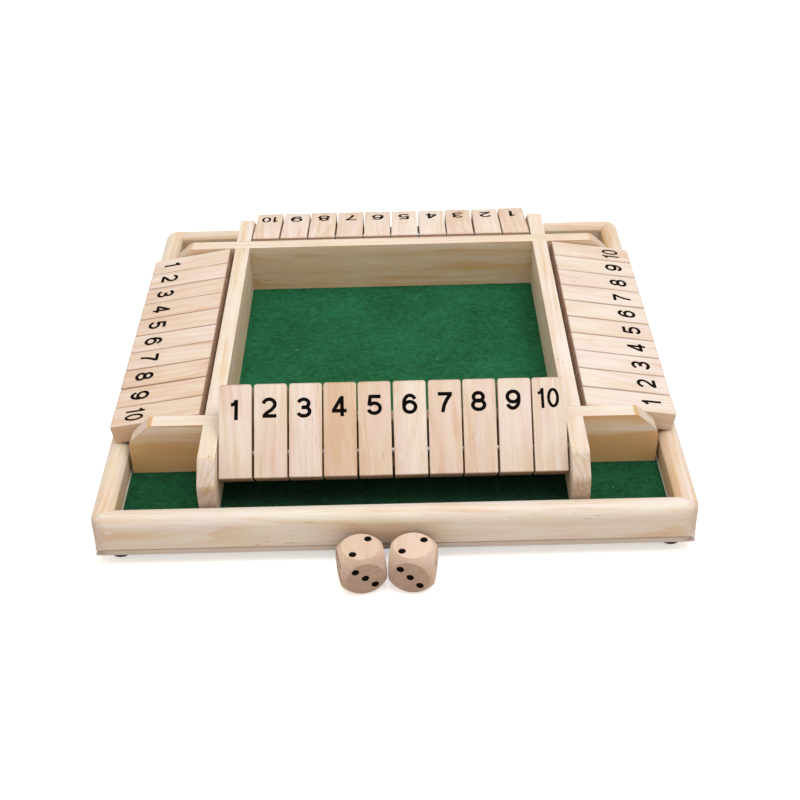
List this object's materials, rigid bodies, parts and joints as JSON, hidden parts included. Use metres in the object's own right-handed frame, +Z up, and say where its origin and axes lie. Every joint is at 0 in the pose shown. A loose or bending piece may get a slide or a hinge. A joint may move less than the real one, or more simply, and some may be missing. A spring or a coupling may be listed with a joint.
{
  "type": "shut the box game",
  "caption": "Square wooden shut the box game with a felt tray, a row of number tiles hinged on a steel rod along every side, and a pair of wooden dice.",
  "frame": {"origin": "middle of the footprint of the box and its two dice, on the table", "axes": "+Z up; -Y towards the front player, whose row leans in and in front of whom the dice stand; +X to that player's right. The square box's own middle is at Y = 10 mm"},
  "size_m": [0.225, 0.245, 0.0504],
  "materials": {
    "pine_frame": "sanded pine with a thin clear satin lacquer",
    "pine_tile": "sanded bare pine, tone varying from tile to tile",
    "base_wood": "plain plywood",
    "felt": "green pressed felt",
    "steel": "drawn wire",
    "rubber": "matte black",
    "dice_wood": "sanded bare hardwood",
    "ink": "black print, on the tiles' numbers and the dice's pips"
  },
  "bodies": {
    "box": {"base_board": "base_wood", "felt": "felt", "feet": "rubber", "rail_front": "pine_frame", "rail_left": "pine_frame", "rail_back": "pine_frame", "rail_right": "pine_frame", "divider_front": "pine_frame", "divider_left": "pine_frame", "divider_back": "pine_frame", "divider_right": "pine_frame", "rod_front": "steel", "rod_left": "steel", "rod_back": "steel", "rod_right": "steel"},
    "tile_front_1": {"tile_front_1": "pine_tile"},
    "tile_front_2": {"tile_front_2": "pine_tile"},
    "tile_front_3": {"tile_front_3": "pine_tile"},
    "tile_front_4": {"tile_front_4": "pine_tile"},
    "tile_front_5": {"tile_front_5": "pine_tile"},
    "tile_front_6": {"tile_front_6": "pine_tile"},
    "tile_front_7": {"tile_front_7": "pine_tile"},
    "tile_front_8": {"tile_front_8": "pine_tile"},
    "tile_front_9": {"tile_front_9": "pine_tile"},
    "tile_front_10": {"tile_front_10": "pine_tile"},
    "tile_left_1": {"tile_left_1": "pine_tile"},
    "tile_left_2": {"tile_left_2": "pine_tile"},
    "tile_left_3": {"tile_left_3": "pine_tile"},
    "tile_left_4": {"tile_left_4": "pine_tile"},
    "tile_left_5": {"tile_left_5": "pine_tile"},
    "tile_left_6": {"tile_left_6": "pine_tile"},
    "tile_left_7": {"tile_left_7": "pine_tile"},
    "tile_left_8": {"tile_left_8": "pine_tile"},
    "tile_left_9": {"tile_left_9": "pine_tile"},
    "tile_left_10": {"tile_left_10": "pine_tile"},
    "tile_back_1": {"tile_back_1": "pine_tile"},
    "tile_back_2": {"tile_back_2": "pine_tile"},
    "tile_back_3": {"tile_back_3": "pine_tile"},
    "tile_back_4": {"tile_back_4": "pine_tile"},
    "tile_back_5": {"tile_back_5": "pine_tile"},
    "tile_back_6": {"tile_back_6": "pine_tile"},
    "tile_back_7": {"tile_back_7": "pine_tile"},
    "tile_back_8": {"tile_back_8": "pine_tile"},
    "tile_back_9": {"tile_back_9": "pine_tile"},
    "tile_back_10": {"tile_back_10": "pine_tile"},
    "tile_right_1": {"tile_right_1": "pine_tile"},
    "tile_right_2": {"tile_right_2": "pine_tile"},
    "tile_right_3": {"tile_right_3": "pine_tile"},
    "tile_right_4": {"tile_right_4": "pine_tile"},
    "tile_right_5": {"tile_right_5": "pine_tile"},
    "tile_right_6": {"tile_right_6": "pine_tile"},
    "tile_right_7": {"tile_right_7": "pine_tile"},
    "tile_right_8": {"tile_right_8": "pine_tile"},
    "tile_right_9": {"tile_right_9": "pine_tile"},
    "tile_right_10": {"tile_right_10": "pine_tile"},
    "die_left": {"die_left": "dice_wood"},
    "die_right": {"die_right": "dice_wood"}
  },
  "joints": [
    {"name": "tile_front_1_flip", "type": "hinge", "parent": "box", "child": "tile_front_1", "pos_m": [0, -0.0743, 0.0301], "axis": [1, 0, 0], "range_deg": [0, 128.2]},
    {"name": "tile_front_10_flip", "type": "hinge", "parent": "box", "child": "tile_front_10", "pos_m": [0, -0.0743, 0.0301], "axis": [1, 0, 0], "range_deg": [0, 128.2]},
    {"name": "tile_left_10_flip", "type": "hinge", "parent": "box", "child": "tile_left_10", "pos_m": [-0.0843, 0.01, 0.0301], "axis": [0, 1, 0], "range_deg": [0, 118]},
    {"name": "tile_left_1_flip", "type": "hinge", "parent": "box", "child": "tile_left_1", "pos_m": [-0.0843, 0.01, 0.0301], "axis": [0, 1, 0], "range_deg": [0, 128.2]},
    {"name": "tile_back_10_flip", "type": "hinge", "parent": "box", "child": "tile_back_10", "pos_m": [0, 0.0943, 0.0301], "axis": [1, 0, 0], "range_deg": [0, 118]},
    {"name": "tile_back_1_flip", "type": "hinge", "parent": "box", "child": "tile_back_1", "pos_m": [0, 0.0943, 0.0301], "axis": [1, 0, 0], "range_deg": [0, 118]},
    {"name": "tile_right_10_flip", "type": "hinge", "parent": "box", "child": "tile_right_10", "pos_m": [0.0843, 0.01, 0.0301], "axis": [0, -1, 0], "range_deg": [0, 128.2]},
    {"name": "tile_right_1_flip", "type": "hinge", "parent": "box", "child": "tile_right_1", "pos_m": [0.0843, 0.01, 0.0301], "axis": [0, -1, 0], "range_deg": [0, 118]},
    {"name": "die_left_lift", "type": "slide", "parent": "box", "child": "die_left", "axis": [0, 0, 1], "range_m": [0, 0.05]},
    {"name": "die_right_lift", "type": "slide", "parent": "box", "child": "die_right", "axis": [0, 0, 1], "range_m": [0, 0.05]},
    {"name": "tile_front_2_flip", "type": "hinge", "parent": "box", "child": "tile_front_2", "pos_m": [0, -0.0743, 0.0301], "axis": [1, 0, 0], "range_deg": [0, 128.2]},
    {"name": "tile_front_3_flip", "type": "hinge", "parent": "box", "child": "tile_front_3", "pos_m": [0, -0.0743, 0.0301], "axis": [1, 0, 0], "range_deg": [0, 128.2]},
    {"name": "tile_front_4_flip", "type": "hinge", "parent": "box", "child": "tile_front_4", "pos_m": [0, -0.0743, 0.0301], "axis": [1, 0, 0], "range_deg": [0, 128.2]},
    {"name": "tile_front_5_flip", "type": "hinge", "parent": "box", "child": "tile_front_5", "pos_m": [0, -0.0743, 0.0301], "axis": [1, 0, 0], "range_deg": [0, 128.2]},
    {"name": "tile_front_6_flip", "type": "hinge", "parent": "box", "child": "tile_front_6", "pos_m": [0, -0.0743, 0.0301], "axis": [1, 0, 0], "range_deg": [0, 128.2]},
    {"name": "tile_front_7_flip", "type": "hinge", "parent": "box", "child": "tile_front_7", "pos_m": [0, -0.0743, 0.0301], "axis": [1, 0, 0], "range_deg": [0, 128.2]},
    {"name": "tile_front_8_flip", "type": "hinge", "parent": "box", "child": "tile_front_8", "pos_m": [0, -0.0743, 0.0301], "axis": [1, 0, 0], "range_deg": [0, 128.2]},
    {"name": "tile_front_9_flip", "type": "hinge", "parent": "box", "child": "tile_front_9", "pos_m": [0, -0.0743, 0.0301], "axis": [1, 0, 0], "range_deg": [0, 128.2]},
    {"name": "tile_left_2_flip", "type": "hinge", "parent": "box", "child": "tile_left_2", "pos_m": [-0.0843, 0.01, 0.0301], "axis": [0, 1, 0], "range_deg": [0, 128.2]},
    {"name": "tile_left_3_flip", "type": "hinge", "parent": "box", "child": "tile_left_3", "pos_m": [-0.0843, 0.01, 0.0301], "axis": [0, 1, 0], "range_deg": [0, 128.2]},
    {"name": "tile_left_4_flip", "type": "hinge", "parent": "box", "child": "tile_left_4", "pos_m": [-0.0843, 0.01, 0.0301], "axis": [0, 1, 0], "range_deg": [0, 128.2]},
    {"name": "tile_left_5_flip", "type": "hinge", "parent": "box", "child": "tile_left_5", "pos_m": [-0.0843, 0.01, 0.0301], "axis": [0, 1, 0], "range_deg": [0, 128.2]},
    {"name": "tile_left_6_flip", "type": "hinge", "parent": "box", "child": "tile_left_6", "pos_m": [-0.0843, 0.01, 0.0301], "axis": [0, 1, 0], "range_deg": [0, 128.2]},
    {"name": "tile_left_7_flip", "type": "hinge", "parent": "box", "child": "tile_left_7", "pos_m": [-0.0843, 0.01, 0.0301], "axis": [0, 1, 0], "range_deg": [0, 128.2]},
    {"name": "tile_left_8_flip", "type": "hinge", "parent": "box", "child": "tile_left_8", "pos_m": [-0.0843, 0.01, 0.0301], "axis": [0, 1, 0], "range_deg": [0, 128.2]},
    {"name": "tile_left_9_flip", "type": "hinge", "parent": "box", "child": "tile_left_9", "pos_m": [-0.0843, 0.01, 0.0301], "axis": [0, 1, 0], "range_deg": [0, 128.2]},
    {"name": "tile_back_2_flip", "type": "hinge", "parent": "box", "child": "tile_back_2", "pos_m": [0, 0.0943, 0.0301], "axis": [1, 0, 0], "range_deg": [0, 128.2]},
    {"name": "tile_back_3_flip", "type": "hinge", "parent": "box", "child": "tile_back_3", "pos_m": [0, 0.0943, 0.0301], "axis": [1, 0, 0], "range_deg": [0, 128.2]},
    {"name": "tile_back_4_flip", "type": "hinge", "parent": "box", "child": "tile_back_4", "pos_m": [0, 0.0943, 0.0301], "axis": [1, 0, 0], "range_deg": [0, 128.2]},
    {"name": "tile_back_5_flip", "type": "hinge", "parent": "box", "child": "tile_back_5", "pos_m": [0, 0.0943, 0.0301], "axis": [1, 0, 0], "range_deg": [0, 128.2]},
    {"name": "tile_back_6_flip", "type": "hinge", "parent": "box", "child": "tile_back_6", "pos_m": [0, 0.0943, 0.0301], "axis": [1, 0, 0], "range_deg": [0, 128.2]},
    {"name": "tile_back_7_flip", "type": "hinge", "parent": "box", "child": "tile_back_7", "pos_m": [0, 0.0943, 0.0301], "axis": [1, 0, 0], "range_deg": [0, 128.2]},
    {"name": "tile_back_8_flip", "type": "hinge", "parent": "box", "child": "tile_back_8", "pos_m": [0, 0.0943, 0.0301], "axis": [1, 0, 0], "range_deg": [0, 128.2]},
    {"name": "tile_back_9_flip", "type": "hinge", "parent": "box", "child": "tile_back_9", "pos_m": [0, 0.0943, 0.0301], "axis": [1, 0, 0], "range_deg": [0, 128.2]},
    {"name": "tile_right_2_flip", "type": "hinge", "parent": "box", "child": "tile_right_2", "pos_m": [0.0843, 0.01, 0.0301], "axis": [0, -1, 0], "range_deg": [0, 128.2]},
    {"name": "tile_right_3_flip", "type": "hinge", "parent": "box", "child": "tile_right_3", "pos_m": [0.0843, 0.01, 0.0301], "axis": [0, -1, 0], "range_deg": [0, 128.2]},
    {"name": "tile_right_4_flip", "type": "hinge", "parent": "box", "child": "tile_right_4", "pos_m": [0.0843, 0.01, 0.0301], "axis": [0, -1, 0], "range_deg": [0, 128.2]},
    {"name": "tile_right_5_flip", "type": "hinge", "parent": "box", "child": "tile_right_5", "pos_m": [0.0843, 0.01, 0.0301], "axis": [0, -1, 0], "range_deg": [0, 128.2]},
    {"name": "tile_right_6_flip", "type": "hinge", "parent": "box", "child": "tile_right_6", "pos_m": [0.0843, 0.01, 0.0301], "axis": [0, -1, 0], "range_deg": [0, 128.2]},
    {"name": "tile_right_7_flip", "type": "hinge", "parent": "box", "child": "tile_right_7", "pos_m": [0.0843, 0.01, 0.0301], "axis": [0, -1, 0], "range_deg": [0, 128.2]},
    {"name": "tile_right_8_flip", "type": "hinge", "parent": "box", "child": "tile_right_8", "pos_m": [0.0843, 0.01, 0.0301], "axis": [0, -1, 0], "range_deg": [0, 128.2]},
    {"name": "tile_right_9_flip", "type": "hinge", "parent": "box", "child": "tile_right_9", "pos_m": [0.0843, 0.01, 0.0301], "axis": [0, -1, 0], "range_deg": [0, 128.2]}
  ]
}
